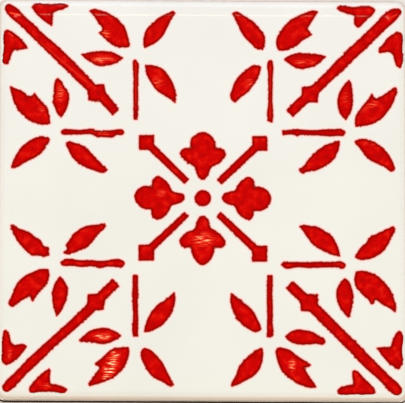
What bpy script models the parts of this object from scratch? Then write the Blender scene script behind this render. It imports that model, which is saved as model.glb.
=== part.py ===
"""A square ceramic wall tile with a cushion edge, lying on its back.

The clay is pressed in a die, glazed and fired, so the tile is one solid: a flat back with a
softened arris, upright sides, a rounded upper edge, and a border that slopes up to the flat
face. Metres, +Z up through the face, origin at the middle of the back.
"""

import math

import bmesh
import bpy

# Driving dimensions
SIDE = 0.108
THICKNESS = 0.00635
CORNER_RADIUS = 0.0022
BACK_ARRIS = 0.0007

# The cushion edge, from the side inwards: a rounded edge, a soft shoulder, a slope, and a crease
EDGE_ROUND = 0.0016
SHOULDER = math.radians(12.0)
SHOULDER_END = 0.0024
SLOPE = math.radians(6.0)
CREASE_START = 0.0034
CREASE_END = 0.0048

# How finely the round stretches are cut
CORNER_STEPS = 8
ARRIS_STEPS = 4
EDGE_STEPS = 8
SHOULDER_STEPS = 3
CREASE_STEPS = 4

HALF = SIDE / 2
CREASE_RADIUS = (CREASE_END - CREASE_START) / math.sin(SLOPE)


def clear_scene():
    """Remove whatever the file opened with."""
    for thing in list(bpy.data.objects):
        bpy.data.objects.remove(thing, do_unlink=True)


def new_collection(name):
    """Add a collection to the scene for the tile's parts."""
    collection = bpy.data.collections.new(name)
    bpy.context.scene.collection.children.link(collection)
    return collection


def glaze_material():
    """Cream-white tin glaze: smooth, glossy, not metallic."""
    material = bpy.data.materials.new("cream_glaze")
    material.use_nodes = True
    shader = material.node_tree.nodes["Principled BSDF"]
    shader.inputs["Base Color"].default_value = (0.88, 0.86, 0.79, 1.0)
    shader.inputs["Roughness"].default_value = 0.12
    shader.inputs["Metallic"].default_value = 0.0
    return material


def cushion_section():
    """Return the upper edge's section as (distance in from the side, height above its foot)."""
    points = []
    turn = math.pi / 2 - SHOULDER
    for step in range(1, EDGE_STEPS + 1):
        angle = turn * step / EDGE_STEPS
        points.append((EDGE_ROUND * (1 - math.cos(angle)), EDGE_ROUND * math.sin(angle)))
    inward, height = points[-1]
    radius = (SHOULDER_END - inward) / (math.sin(SHOULDER) - math.sin(SLOPE))
    for step in range(1, SHOULDER_STEPS + 1):
        angle = SHOULDER - (SHOULDER - SLOPE) * step / SHOULDER_STEPS
        rise = radius * (math.cos(angle) - math.cos(SHOULDER))
        points.append((SHOULDER_END - radius * (math.sin(angle) - math.sin(SLOPE)), height + rise))
    height = points[-1][1] + (CREASE_START - SHOULDER_END) * math.tan(SLOPE)
    for step in range(CREASE_STEPS + 1):
        angle = SLOPE * (1 - step / CREASE_STEPS)
        inward = CREASE_END - CREASE_RADIUS * math.sin(angle)
        rise = CREASE_RADIUS * (math.cos(angle) - math.cos(SLOPE))
        points.append((inward, height + rise))
    return points


def slab(bm, height):
    """Add a square slab with rounded corners and a softened lower arris."""
    bmesh.ops.create_cube(bm, size=1.0)
    bmesh.ops.scale(bm, vec=(SIDE, SIDE, height), verts=bm.verts)
    bmesh.ops.translate(bm, vec=(0, 0, height / 2), verts=bm.verts)
    upright = [edge for edge in bm.edges if edge.verts[0].co.z != edge.verts[1].co.z]
    bmesh.ops.bevel(bm, geom=upright, offset=CORNER_RADIUS, segments=CORNER_STEPS,
                    profile=0.5, affect="EDGES")
    arris = [edge for edge in bm.edges if max(vert.co.z for vert in edge.verts) < height / 2]
    bmesh.ops.bevel(bm, geom=arris, offset=BACK_ARRIS, segments=ARRIS_STEPS,
                    profile=0.5, affect="EDGES")


def moved_in(value, inward):
    """Return one plan coordinate of the slab's outline, moved in; the corners keep their radius."""
    return math.copysign(abs(value) - inward, value)


def raise_cushion(bm, foot):
    """Draw the slab's top up and in, ring by ring, along the cushion's section."""
    top = max(bm.faces, key=lambda face: face.calc_center_median().z)
    outline = [vert.co.copy() for vert in top.verts]
    for inward, rise in cushion_section():
        top = bmesh.ops.extrude_discrete_faces(bm, faces=[top])["faces"][0]
        for vert, start in zip(top.verts, outline):
            vert.co = (moved_in(start.x, inward), moved_in(start.y, inward), foot + rise)


def make_tile(collection):
    """Model the fired tile as one closed solid."""
    section = cushion_section()
    foot = THICKNESS - section[-1][1]
    bm = bmesh.new()
    slab(bm, foot)
    raise_cushion(bm, foot)
    bmesh.ops.recalc_face_normals(bm, faces=bm.faces)
    mesh = bpy.data.meshes.new("tile")
    bm.to_mesh(mesh)
    bm.free()
    mesh.materials.append(glaze_material())
    mesh.shade_smooth()
    mesh.set_sharp_from_angle(angle=math.radians(30))
    tile = bpy.data.objects.new("tile", mesh)
    collection.objects.link(tile)
    return tile


def main():
    clear_scene()
    collection = new_collection("wall_tile")
    make_tile(collection)


main()
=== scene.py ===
# %% [markdown]
# # A glazed wall tile with a red enamel ornament
# The real tile is one fired piece: a pressed clay body with a cushion edge, a cream-white glaze
# over its face and sides, and a raised red ornament put on through a stencil by brush. The packed
# solid gives its size and its place. This lesson dresses it: the clay, the glaze coat, and then
# 61 dabs of enamel, each one a low mound that lies on the glaze.

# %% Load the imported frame
import math

import bmesh
import bpy
import numpy as np
from mathutils import Matrix, Vector, noise
from mathutils.geometry import delaunay_2d_cdt


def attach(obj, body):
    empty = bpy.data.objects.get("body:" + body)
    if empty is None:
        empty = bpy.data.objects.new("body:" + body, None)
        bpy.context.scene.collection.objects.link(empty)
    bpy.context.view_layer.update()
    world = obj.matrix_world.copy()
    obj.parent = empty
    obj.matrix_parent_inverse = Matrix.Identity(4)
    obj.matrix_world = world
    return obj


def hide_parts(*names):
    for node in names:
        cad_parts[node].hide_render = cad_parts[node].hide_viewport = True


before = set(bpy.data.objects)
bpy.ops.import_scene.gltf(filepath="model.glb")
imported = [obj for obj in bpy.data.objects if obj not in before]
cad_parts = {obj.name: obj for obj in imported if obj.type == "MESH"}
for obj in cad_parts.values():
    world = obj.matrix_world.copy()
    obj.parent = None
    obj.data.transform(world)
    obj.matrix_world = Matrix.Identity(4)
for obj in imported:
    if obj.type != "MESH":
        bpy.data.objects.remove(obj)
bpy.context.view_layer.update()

# %% [markdown]
# ## The sizes
# Blender works in metres, and a tile is small, so every size here is a number of millimetres
# times MM. The section of the cushion edge is the same as the solid's: a rounded edge, a soft
# shoulder, a gentle slope, and a crease where the slope meets the flat face. Two heights that
# differ by less than TOUCHING count as the same one.

# %% The tile's sizes
MM = 0.001
SIDE = 108 * MM
THICKNESS = 6.35 * MM
CORNER_RADIUS = 2.2 * MM
BACK_ARRIS = 0.7 * MM
EDGE_ROUND = 1.6 * MM
SHOULDER = math.radians(12)
SHOULDER_END = 2.4 * MM
SLOPE = math.radians(6)
CREASE_START = 3.4 * MM
CREASE_END = 4.8 * MM
HALF = SIDE / 2
CREASE_RADIUS = (CREASE_END - CREASE_START) / math.sin(SLOPE)
TOUCHING = 0.01 * MM
print("crease radius", round(CREASE_RADIUS / MM, 1), "mm")

# %% [markdown]
# ## The camera
# The photograph was taken from almost straight above with a long lens, so the tile's sides stay
# nearly parallel. The camera is given by where it aims on the face, its direction, its distance
# and its roll. The same numbers later turn a place in the photograph into a place on the tile.

# %% The camera
PHOTO_WIDTH = 405
PHOTO_HEIGHT = 403
SENSOR_WIDTH = 36
VIEW_AZIMUTH = math.radians(4.378)
VIEW_ELEVATION = math.radians(76.872)
VIEW_ROLL = math.radians(4.566)
VIEW_DISTANCE = 2269.6 * MM
VIEW_AIM = Vector((0.02 * MM, -1.11 * MM, THICKNESS))
PIXEL_ON_FACE = 0.2635 * MM


def view_axes():
    """Return the camera's forward, right and up directions."""
    forward = Vector((math.sin(VIEW_AZIMUTH) * math.cos(VIEW_ELEVATION),
                      math.cos(VIEW_AZIMUTH) * math.cos(VIEW_ELEVATION),
                      -math.sin(VIEW_ELEVATION)))
    right = forward.cross(Vector((0, 0, 1))).normalized()
    up = right.cross(forward)
    turned_right = math.cos(VIEW_ROLL) * right + math.sin(VIEW_ROLL) * up
    turned_up = math.cos(VIEW_ROLL) * up - math.sin(VIEW_ROLL) * right
    return forward, turned_right, turned_up


view_forward, view_right, view_up = view_axes()
view_place = VIEW_AIM - VIEW_DISTANCE * view_forward
lens = bpy.data.cameras.new("camera")
lens.sensor_fit = "HORIZONTAL"
lens.sensor_width = SENSOR_WIDTH
lens.lens = SENSOR_WIDTH * VIEW_DISTANCE / (PHOTO_WIDTH * PIXEL_ON_FACE)
lens.clip_start = 0.01
lens.clip_end = 50
camera = bpy.data.objects.new("camera", lens)
bpy.context.scene.collection.objects.link(camera)
turn = Matrix((view_right, view_up, -view_forward)).transposed()
camera.matrix_world = Matrix.Translation(view_place) @ turn.to_4x4()
bpy.context.scene.camera = camera
print("lens", round(lens.lens), "mm at", [round(value, 3) for value in view_place])

# %% [markdown]
# ## Tools of the bench
# Everything is modelled in edit mode, and an operator works on what is selected. So one helper
# selects only the vertices, edges or faces that pass a test on their place.

# %% Select by place
def pick(piece, kind, wanted):
    """Select only the vertices, edges or faces that pass the test, and return how many."""
    bpy.ops.mesh.select_mode(type=kind)
    bpy.ops.mesh.select_all(action="DESELECT")
    form = bmesh.from_edit_mesh(piece.data)
    parts = {"VERT": form.verts, "EDGE": form.edges, "FACE": form.faces}[kind]
    chosen = [part for part in parts if wanted(part)]
    for part in chosen:
        part.select_set(True)
    form.select_flush_mode()
    bmesh.update_edit_mesh(piece.data)
    return len(chosen)


def heights(part):
    """Return the lowest and highest corner of an edge or face."""
    rises = [vert.co.z for vert in part.verts]
    return min(rises), max(rises)


# %% [markdown]
# ## The pressed form
# Clay powder is pressed in a steel die, which gives a square block with rounded corners and a
# cushion edge. By hand it is a cube with its four upright edges bevelled. Its top face is then
# drawn up and scaled in, ring by ring, along the section of the cushion. The long edges are cut
# first, so that the glaze has enough points for the slightly wavy line where it ends. Both the
# clay and the glaze start from this form, the clay a little smaller.

# %% Press the form
CORNER_STEPS = 12
ARRIS_STEPS = 5
EDGE_STEPS = 12
SHOULDER_STEPS = 6
CREASE_STEPS = 8
SMOOTH_BELOW = math.radians(35)


def cushion_section():
    """Return the upper edge's section as (distance in from the side, height above its foot)."""
    points = []
    turn = math.pi / 2 - SHOULDER
    for step in range(1, EDGE_STEPS + 1):
        angle = turn * step / EDGE_STEPS
        points.append((EDGE_ROUND * (1 - math.cos(angle)), EDGE_ROUND * math.sin(angle)))
    inward, height = points[-1]
    radius = (SHOULDER_END - inward) / (math.sin(SHOULDER) - math.sin(SLOPE))
    for step in range(1, SHOULDER_STEPS + 1):
        angle = SHOULDER - (SHOULDER - SLOPE) * step / SHOULDER_STEPS
        rise = radius * (math.cos(angle) - math.cos(SHOULDER))
        points.append((SHOULDER_END - radius * (math.sin(angle) - math.sin(SLOPE)), height + rise))
    height = points[-1][1] + (CREASE_START - SHOULDER_END) * math.tan(SLOPE)
    for step in range(CREASE_STEPS + 1):
        angle = SLOPE * (1 - step / CREASE_STEPS)
        rise = CREASE_RADIUS * (math.cos(angle) - math.cos(SLOPE))
        points.append((CREASE_END - CREASE_RADIUS * math.sin(angle), height + rise))
    return points


SECTION = cushion_section()
CUSHION_RISE = SECTION[-1][1]
print("the cushion rises", round(CUSHION_RISE / MM, 2), "mm in", len(SECTION), "rings")


def raise_cushion(half):
    """Draw the selected top face up and in along the cushion's section."""
    old_half, old_rise = half, 0
    for inward, rise in SECTION:
        new_half = half - inward
        bpy.ops.mesh.extrude_region_move(TRANSFORM_OT_translate={"value": (0, 0, rise - old_rise)})
        share = new_half / old_half
        bpy.ops.transform.resize(value=(share, share, 1), center_override=(0, 0, 0))
        old_half, old_rise = new_half, rise


def press(name, skin, low, arris, cuts):
    """Press a cushion-edged block whose skin lies this far inside the tile's outside."""
    half = HALF - skin
    foot = THICKNESS - skin - CUSHION_RISE
    bpy.ops.object.select_all(action="DESELECT")
    bpy.ops.mesh.primitive_cube_add(size=2 * half, location=(0, 0, 0))
    piece = bpy.context.object
    piece.name = piece.data.name = name
    bpy.ops.object.mode_set(mode="EDIT")
    bpy.ops.transform.resize(value=(1, 1, (foot - low) / (2 * half)), center_override=(0, 0, 0))
    bpy.ops.transform.translate(value=(0, 0, (foot + low) / 2))
    pick(piece, "EDGE", lambda edge: heights(edge)[1] - heights(edge)[0] > MM)
    bpy.ops.mesh.bevel(offset=CORNER_RADIUS - skin, segments=CORNER_STEPS, affect="EDGES")
    pick(piece, "EDGE", lambda edge: edge.calc_length() > HALF)
    bpy.ops.mesh.subdivide(number_cuts=cuts)
    if arris:
        pick(piece, "EDGE", lambda edge: heights(edge)[1] < low + MM)
        bpy.ops.mesh.bevel(offset=arris, segments=ARRIS_STEPS, affect="EDGES")
    pick(piece, "FACE", lambda face: heights(face)[0] > foot - TOUCHING)
    raise_cushion(half)
    return piece


# %% [markdown]
# ## The clay body
# The body shows only on the back and as a narrow band under the glaze line, where the tile stood
# in the kiln. It is the pressed form with a softened lower arris, a fifth of a millimetre inside
# the glaze, so the glaze really is a coat with something under it.

# %% The clay body
CLAY_SKIN = 0.2 * MM
CLAY_CUTS = 8
clay_body = press("clay_body", CLAY_SKIN, 0, BACK_ARRIS, CLAY_CUTS)
bpy.ops.object.mode_set(mode="OBJECT")
bpy.ops.object.shade_smooth_by_angle(angle=SMOOTH_BELOW)
print("clay body", len(clay_body.data.polygons), "faces")

# %% [markdown]
# ## The glaze coat
# Glaze is poured over the tile and melts to a skin a quarter of a millimetre thick. Its lower end
# is never straight: it stops about two millimetres above the bed in a soft, wavy roll. The
# form's floor is deleted, the open edge is moved up and down by smooth noise, and two narrow
# rings curl it in to the clay. Solidify then gives the skin its thickness, inwards.

# %% The glaze coat
GLAZE_END = 2.05 * MM
GLAZE_END_WAVE = 0.3 * MM
GLAZE_WAVE_LENGTH = 7 * MM
GLAZE_THICKNESS = 0.25 * MM
GLAZE_ROLL = [(0.05 * MM, 0.08 * MM), (0.1 * MM, 0.04 * MM)]
GLAZE_CUTS = 72

glaze_coat = press("glaze_coat", 0, GLAZE_END, 0, GLAZE_CUTS)
pick(glaze_coat, "FACE", lambda face: heights(face)[1] < GLAZE_END + TOUCHING)
bpy.ops.mesh.delete(type="ONLY_FACE")
form = bmesh.from_edit_mesh(glaze_coat.data)
for vert in form.verts:
    if vert.co.z < GLAZE_END + TOUCHING:
        vert.co.z += GLAZE_END_WAVE * noise.noise(vert.co / GLAZE_WAVE_LENGTH)
bmesh.update_edit_mesh(glaze_coat.data)
pick(glaze_coat, "EDGE", lambda edge: edge.is_boundary)
for inward, drop in GLAZE_ROLL:
    bpy.ops.mesh.extrude_region_move(TRANSFORM_OT_translate={"value": (0, 0, -drop)})
    share = 1 - inward / HALF
    bpy.ops.transform.resize(value=(share, share, 1), center_override=(0, 0, 0))
bpy.ops.mesh.select_all(action="SELECT")
bpy.ops.mesh.normals_make_consistent(inside=False)
bpy.ops.object.mode_set(mode="OBJECT")
skin = glaze_coat.modifiers.new("skin", "SOLIDIFY")
skin.thickness = GLAZE_THICKNESS
skin.offset = -1
bpy.ops.object.modifier_apply(modifier="skin")
bpy.ops.object.shade_smooth_by_angle(angle=SMOOTH_BELOW)
bpy.context.view_layer.update()
print("glaze coat", len(glaze_coat.data.polygons), "faces")

# %% [markdown]
# ## From the photograph to the tile
# A stencilled pattern is never exact, so each dab's edge is read from the photograph, in
# its pixels, with x to the right and y down. A ray from the camera through such a place meets the
# glaze, and that is where the dab's edge lies. A second ray, straight down, gives the height of
# the glaze under any point, so the enamel follows the slope of the cushion edge.

# %% Rays onto the glaze
DOWN = Vector((0, 0, -1))
FOCAL_PIXELS = VIEW_DISTANCE / PIXEL_ON_FACE


def on_tile(right, down):
    """Return the place on the tile, in millimetres, that the photograph shows at this pixel."""
    ray = (view_forward + view_right * (right - PHOTO_WIDTH / 2) / FOCAL_PIXELS
           - view_up * (down - PHOTO_HEIGHT / 2) / FOCAL_PIXELS)
    hit, place, _, _ = glaze_coat.ray_cast(view_place, ray.normalized())
    if not hit:
        raise ValueError(f"no glaze at pixel {right}, {down}")
    return place.x / MM, place.y / MM


def glaze_height(x, y):
    """Return the height of the glaze, in millimetres, over a place given in millimetres."""
    hit, place, _, _ = glaze_coat.ray_cast(Vector((x * MM, y * MM, 2 * THICKNESS)), DOWN)
    if not hit:
        raise ValueError(f"no glaze under {x}, {y}")
    return place.z / MM


centre = on_tile(PHOTO_WIDTH / 2, PHOTO_HEIGHT / 2)
print("photo centre on the tile", [round(value, 2) for value in centre], "mm")

# %% [markdown]
# ## A smooth line through a few points
# A few points give each outline. A smooth curve runs through them and turns sharply only at a
# point marked TIP, where it starts as a parabola would. A Bezier curve object could do the same,
# but its handles would be four more numbers for each point. The line is then cut into short even
# steps. From here to the materials, lengths are plain numbers of millimetres.

# %% A smooth line
TIP = True
EDGE_STEP = 0.16
FEWEST_STEPS = 12


def smooth_run(points):
    """Return a closed line of close points through the outline, in photograph pixels."""
    spots = np.array([point[:2] for point in points], float)
    sharp = [len(point) > 2 for point in points]
    chords = np.roll(spots, -1, 0) - spots
    lengths = np.hypot(chords[:, 0], chords[:, 1])
    slopes = chords / lengths[:, None]
    line = []
    for i, length in enumerate(lengths):
        after = (i + 1) % len(points)
        ends = []
        for at in (i, after):
            before = lengths[at - 1]
            mixed = slopes[at - 1] * lengths[at] + slopes[at] * before
            ends.append(mixed / (before + lengths[at]))
        if sharp[i]:
            ends[0] = 1.5 * slopes[i] - 0.5 * (slopes[i] if sharp[after] else ends[1])
        if sharp[after]:
            ends[1] = 1.5 * slopes[i] - 0.5 * (slopes[i] if sharp[i] else ends[0])
        count = max(2, round(length))
        for t in np.arange(count) / count:
            line.append((1 + 2 * t) * (1 - t) ** 2 * spots[i] + t * t * (3 - 2 * t) * spots[after]
                        + length * t * (1 - t) * ((1 - t) * ends[0] - t * ends[1]))
    return line


def even_steps(line):
    """Return the closed line with its points a steady step apart."""
    closed = np.vstack([line, line[:1]])
    along = np.concatenate([[0], np.cumsum(np.hypot(*np.diff(closed, axis=0).T))])
    count = max(FEWEST_STEPS, round(along[-1] / EDGE_STEP))
    marks = np.linspace(0, along[-1], count, endpoint=False)
    return np.column_stack([np.interp(marks, along, closed[:, axis]) for axis in (0, 1)])


# %% [markdown]
# ## The ragged edge
# The brush and the cut stencil leave a slightly ragged edge, so smooth noise moves it in and out
# by up to a tenth of a millimetre or so. Waves of three lengths add up, with heights that differ
# from one kind of dab to the next, and a slow fourth wave makes some stretches calm and others
# rough. Noise suits this better than points by hand, which would be hundreds.

# %% The ragged edge
EDGE_SPREAD = 0.015
ROUGH_LENGTHS = (1.9, 0.75, 0.4)
SPOKE_ROUGHNESS = (0.02, 0.08, 0.14)
LEAF_ROUGHNESS = (0.06, 0.14, 0.2)
STALK_ROUGHNESS = (0.04, 0.13, 0.2)
BAR_ROUGHNESS = (0.04, 0.09, 0.15)
CALM_LENGTH = 4
CALM_LEAST = 0.3
CALM_RANGE = 2.4
CALM_LAYER = 9


def inward_normals(edge):
    """Return the direction into the dab at each point of its anticlockwise edge."""
    along = np.roll(edge, -1, 0) - np.roll(edge, 1, 0)
    along /= np.hypot(along[:, 0], along[:, 1])[:, None]
    return np.column_stack([-along[:, 1], along[:, 0]])


def dab_edge(points, roughness, seed):
    """Return the dab's edge on the tile: anticlockwise, ragged and with softened tips."""
    edge = np.array([on_tile(right, down) for right, down in smooth_run(points)])
    turned = np.roll(edge, -1, 0)
    if (edge[:, 0] * turned[:, 1] - turned[:, 0] * edge[:, 1]).sum() < 0:
        edge = edge[::-1]
    edge = even_steps(edge)
    edge = (np.roll(edge, 1, 0) + 2 * edge + np.roll(edge, -1, 0)) / 4
    shift = np.full(len(edge), -EDGE_SPREAD)
    calm = [CALM_LEAST + CALM_RANGE * abs(noise.noise(Vector((x, y, CALM_LAYER + seed))
                                                      / CALM_LENGTH)) for x, y in edge]
    for length, size in zip(ROUGH_LENGTHS, roughness):
        wave = [noise.noise(Vector((x / length, y / length, seed))) for x, y in edge]
        shift += size * np.array(wave) * calm
    return edge + inward_normals(edge) * shift[:, None]


# %% [markdown]
# ## The points of a dab
# Blender's own fill would stretch long triangles across such an outline, and they could not follow
# the slope under them. So the dab gets rings of points along its edge and an even spread of points
# inside them, finer on the border, so that the enamel turns over the crease as the glaze does. A
# ring keeps only the points that really lie that far from the edge, because in a narrow tip the
# two sides of a ring would cross.

# %% The points of a dab
RING_DEPTHS = (-0.6, 0, 0.14, 0.3, 0.5)
RING_SHARE = 0.97
FOOT_LIMIT = HALF / MM - 0.25
FACE_GRID = 0.36
BORDER_GRID = 0.25
BORDER_START = HALF / MM - 5.2
TINY = 1e-9


def gap_to_edge(spots, edge):
    """Return the distance from each spot to the edge line."""
    step = np.roll(edge, -1, 0) - edge
    away = spots[:, None] - edge[None]
    along = np.clip((away * step).sum(2) / (step ** 2).sum(1), 0, 1)
    return np.sqrt(((away - along[..., None] * step) ** 2).sum(2)).min(1)


def is_inside(spots, edge):
    """Tell for each spot whether it lies inside the closed edge."""
    x, y = spots[:, :1], spots[:, 1:]
    x0, y0 = edge.T
    x1, y1 = np.roll(edge, -1, 0).T
    rise = np.where(y1 == y0, TINY, y1 - y0)
    crossed = ((y0 > y) != (y1 > y)) & (x < (x1 - x0) * (y - y0) / rise + x0)
    return crossed.sum(1) % 2 == 1


def ring_at(edge, depth):
    """Return the edge moved in by this depth, or out if it is negative, kept on the tile."""
    ring = edge + inward_normals(edge) * depth
    clear = gap_to_edge(ring, edge) > RING_SHARE * abs(depth) - TINY
    if depth:
        clear &= is_inside(ring, edge) == (depth > 0)
    return np.clip(ring[clear], -FOOT_LIMIT, FOOT_LIMIT)


def even_spread(edge, grid, wanted):
    """Return the wanted points of an even spread that lie inside the rings along the edge."""
    low, high = edge.min(0), edge.max(0)
    rows = np.arange(low[1], high[1], grid * math.sin(math.pi / 3))
    spread = np.array([(x + grid / 2 * (i % 2), y)
                       for i, y in enumerate(rows) for x in np.arange(low[0], high[0], grid)])
    spread = spread[wanted(np.abs(spread).max(1))]
    far = gap_to_edge(spread, edge) > RING_DEPTHS[-1] + grid / 2
    return spread[far & is_inside(spread, edge)]


def dab_points(edge):
    """Return the rings of points along the edge and the spread inside, finer on the border."""
    found = [ring_at(edge, depth) for depth in RING_DEPTHS]
    found.append(even_spread(edge, FACE_GRID, lambda out: out < BORDER_START))
    found.append(even_spread(edge, BORDER_GRID, lambda out: out >= BORDER_START))
    return np.vstack(found)


# %% [markdown]
# ## Raise a dab
# Enamel melts to a low cushion with a round rim, here under two hundredths of a millimetre high.
# At its edge it also runs out as a thin foot, 0.8 mm wide, that stains the glaze pink. A Delaunay
# mesh joins the points, and each is lifted by its distance from the edge. That distance is stored
# too, because the rim has a darker colour. The underside has the outline of the foot, sunk a
# little into the glaze, so every dab is closed. A triangle with all its points on the foot's
# outline would lie flat on its own underside, so it is left out first.

# %% Raise a dab
DAB_HEIGHT = 0.004
DAB_RIM = 0.6
DAB_SINK = 0.02
FOOT_WIDTH = 0.8
FOOT_HEIGHT = 0.012
FOOT_SHARE = 0.9
ONLY_INSIDE = 1
WELD = 1e-7


def joined(points, borders):
    """Return a Delaunay mesh inside the border edges: points, triangles and source numbers."""
    made = delaunay_2d_cdt([Vector(point) for point in points], borders, [], ONLY_INSIDE, WELD)
    return [tuple(vert) for vert in made[0]], [tuple(face) for face in made[2]], made[3]


def open_edges(faces):
    """Return the edges that only one of the triangles uses."""
    sides = [(face[i], face[(i + 1) % 3]) for face in faces for i in range(3)]
    used = set(sides)
    return [(first, last) for first, last in sides if (last, first) not in used]


def lift(gap):
    """Return how far the enamel stands above the glaze, this far inside its edge."""
    share = min(1, max(0, gap / DAB_RIM))
    return FOOT_HEIGHT + DAB_HEIGHT * share * share * (3 - 2 * share)


def raise_dab(edge):
    """Return one closed dab as its points, its triangles and each point's depth in the edge."""
    foot = ring_at(edge, -FOOT_WIDTH)
    count = len(foot)
    borders = [(i, (i + 1) % count) for i in range(count)]
    flat, faces, _ = joined(np.vstack([foot, dab_points(edge)]), borders)
    spots = np.array(flat)
    gaps = gap_to_edge(spots, edge) * np.where(is_inside(spots, edge), 1, -1)
    faces = [face for face in faces if gaps[list(face)].max() > -FOOT_SHARE * FOOT_WIDTH]
    borders = open_edges(faces)
    outline = sorted({i for side in borders for i in side})
    number = {i: order for order, i in enumerate(outline)}
    borders = [(number[first], number[last]) for first, last in borders]
    _, under, sources = joined([flat[i] for i in outline], borders)
    gaps[outline] = -FOOT_WIDTH
    points = []
    for (x, y), gap in zip(flat, gaps):
        rise = -DAB_SINK if gap == -FOOT_WIDTH else lift(gap)
        points.append((x * MM, y * MM, (glaze_height(x, y) + rise) * MM))
    faces += [tuple(outline[sources[i][0]] for i in reversed(face)) for face in under]
    used = sorted({i for face in faces for i in face})
    number = {i: order for order, i in enumerate(used)}
    faces = [tuple(number[i] for i in face) for face in faces]
    return [points[i] for i in used], faces, gaps[used]


print("the enamel stands", FOOT_HEIGHT + DAB_HEIGHT, "mm above the glaze")

# %% [markdown]
# ## Brush marks and two painted highlights
# Where the brush ran dry the enamel is thin, and cream shows through in fine level streaks. Each
# mark below is a soft oval: the photograph's pixels of its middle, its half width and half
# height, and how thin the enamel is there. A line has two ends, a half width and the same
# strength. Most lines are where a bristle scratched the enamel, but the two short ones on the ends
# of the upper stalks are painted highlights, the crease's glint painted into the red. A painted
# mask could hold them too, but it would be an image to keep beside the script.

# %% Brush marks and painted highlights
BRUSH_MARKS = [
    (203.5, 239.5, 10, 6.5, 0.72), (115, 354, 5, 4, 0.85), (112, 362, 5.8, 5, 0.9),
    (109, 370, 5.6, 6, 0.95), (106.5, 377, 4.5, 3.5, 0.8), (102.5, 336.5, 8, 3.2, 0.9),
    (46, 385.8, 5, 2.4, 0.52), (9.6, 352.5, 2.3, 6, 0.42), (292, 365, 3.4, 6.5, 0.75),
    (104, 34, 6, 5, 0.5), (103, 60, 14, 4, 0.5), (60, 93, 4, 9, 0.45),
    (42, 109, 4, 3, 0.45), (104, 132.5, 6, 2.5, 0.6), (305, 62.5, 12, 3, 0.42),
    (345.5, 99, 3, 9, 0.24), (362, 108, 7, 5, 0.32), (373, 104, 6, 4, 0.38),
    (158, 82, 6, 6, 0.4), (250, 84, 6, 6, 0.35), (370, 143, 8, 3, 0.35), (161, 193, 5, 4, 0.35),
]
BRUSH_AND_HIGHLIGHT_LINES = [
    (33, 36.6, 88, 83, 1.1, 0.2), (135.8, 62, 135.8, 108, 1.1, 0.2),
    # Painted highlights: the lines from (9.6, 12.8) and from (386.4, 19.3) are the crease's glint on
    # the upper stalks' ends, not scratches.
    (270.2, 66, 270.2, 118, 1.1, 0.2), (9.6, 12.8, 20.6, 15.2, 0.8, 0.5),
    (386.4, 19.3, 397.2, 14.7, 0.8, 0.3), (8.6, 33, 13, 36.2, 0.8, 0.35),
]
MARK_SCALE = PIXEL_ON_FACE / MM
MARK_SHAPES = [(*on_tile(right, down), half_width * MARK_SCALE, half_height * MARK_SCALE, strength)
               for right, down, half_width, half_height, strength in BRUSH_MARKS]
LINE_SHAPES = [(Vector(on_tile(*ends[:2])), Vector(on_tile(*ends[2:4])), ends[4] * MARK_SCALE,
                ends[5]) for ends in BRUSH_AND_HIGHLIGHT_LINES]


def thinness(x, y):
    """Return how dry the brush was at a place in metres, from 0 to 1."""
    most = 0
    for middle_x, middle_y, half_width, half_height, strength in MARK_SHAPES:
        across, along = (x / MM - middle_x) / half_width, (y / MM - middle_y) / half_height
        most = max(most, strength * math.exp(-(across ** 2 + along ** 2) ** 1.5))
    return most


def scratch_and_highlight(x, y):
    """Return how much the scratches and the painted highlights lighten the enamel at a place in
    metres, from 0 to 1.
    """
    most = 0
    spot = Vector((x / MM, y / MM))
    for first, last, half_width, strength in LINE_SHAPES:
        span = last - first
        share = min(1, max(0, (spot - first).dot(span) / span.length_squared))
        away = (spot - first - share * span).length_squared / half_width ** 2
        most = max(most, strength * math.exp(-away))
    return most


print(len(MARK_SHAPES), "dry marks and", len(LINE_SHAPES), "scratches")

# %% [markdown]
# ## One piece for each kind of dab
# Dabs of one kind are one piece. Their points and triangles are put end to end in one mesh, which
# is far quicker than joining 61 objects. Three values are kept on the points as attributes, for
# the enamel's material: the depth in the edge, the dry marks, and the scratches together with two
# painted highlights. The outline of the foot is marked sharp, so that the light on the top doesn't
# turn round to the underside.

# %% One piece for each kind of dab
def enamel(name, outlines, roughness):
    """Make one family of dabs as a single piece."""
    points, faces, rims = [], [], []
    for seed, outline in enumerate(outlines):
        start = len(points)
        new_points, new_faces, gaps = raise_dab(dab_edge(outline, roughness, seed))
        points += new_points
        faces += [tuple(start + i for i in face) for face in new_faces]
        rims += list(gaps)
    mesh = bpy.data.meshes.new(name)
    mesh.from_pydata(points, [], faces)
    values = {"rim": rims, "thin": [thinness(x, y) for x, y, _ in points],
              "scratch_and_highlight": [scratch_and_highlight(x, y) for x, y, _ in points]}
    for title, numbers in values.items():
        mesh.attributes.new(title, "FLOAT", "POINT").data.foreach_set("value", numbers)
    mesh.shade_smooth()
    for side in mesh.edges:
        side.use_edge_sharp = all(rims[i] == -FOOT_WIDTH for i in side.vertices)
    piece = bpy.data.objects.new(name, mesh)
    bpy.context.scene.collection.objects.link(piece)
    print(name, len(outlines), "dabs,", len(faces), "triangles")
    return piece


# %% [markdown]
# ## The dot and the spokes
# A round dot marks the middle, and a circle's formula gives it. Four spokes point at it. Each is a
# thin rod with a square head, so its outline needs only the head's box and the rod's end. The rod
# leaves the head a little way along the two sides that face the middle.

# %% The dot and the spokes
DOT_MIDDLE = (202.9, 198.2)
DOT_RADIUS = 7.9
DOT_POINTS = 12
ROD_ROOT = 5.2
SPOKES = [
    ((139.1, 135.3, 153.9, 149.7), (188.8, 179.3), (184.5, 183.8)),
    ((267.0, 136.3, 252.5, 150.6), (217.1, 179.3), (221.6, 184.4)),
    ((138.8, 260.4, 153.9, 245.0), (188.8, 216.1), (184.5, 212.3)),
    ((267.0, 261.4, 252.2, 246.0), (216.6, 216.6), (220.6, 212.0)),
]


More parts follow.
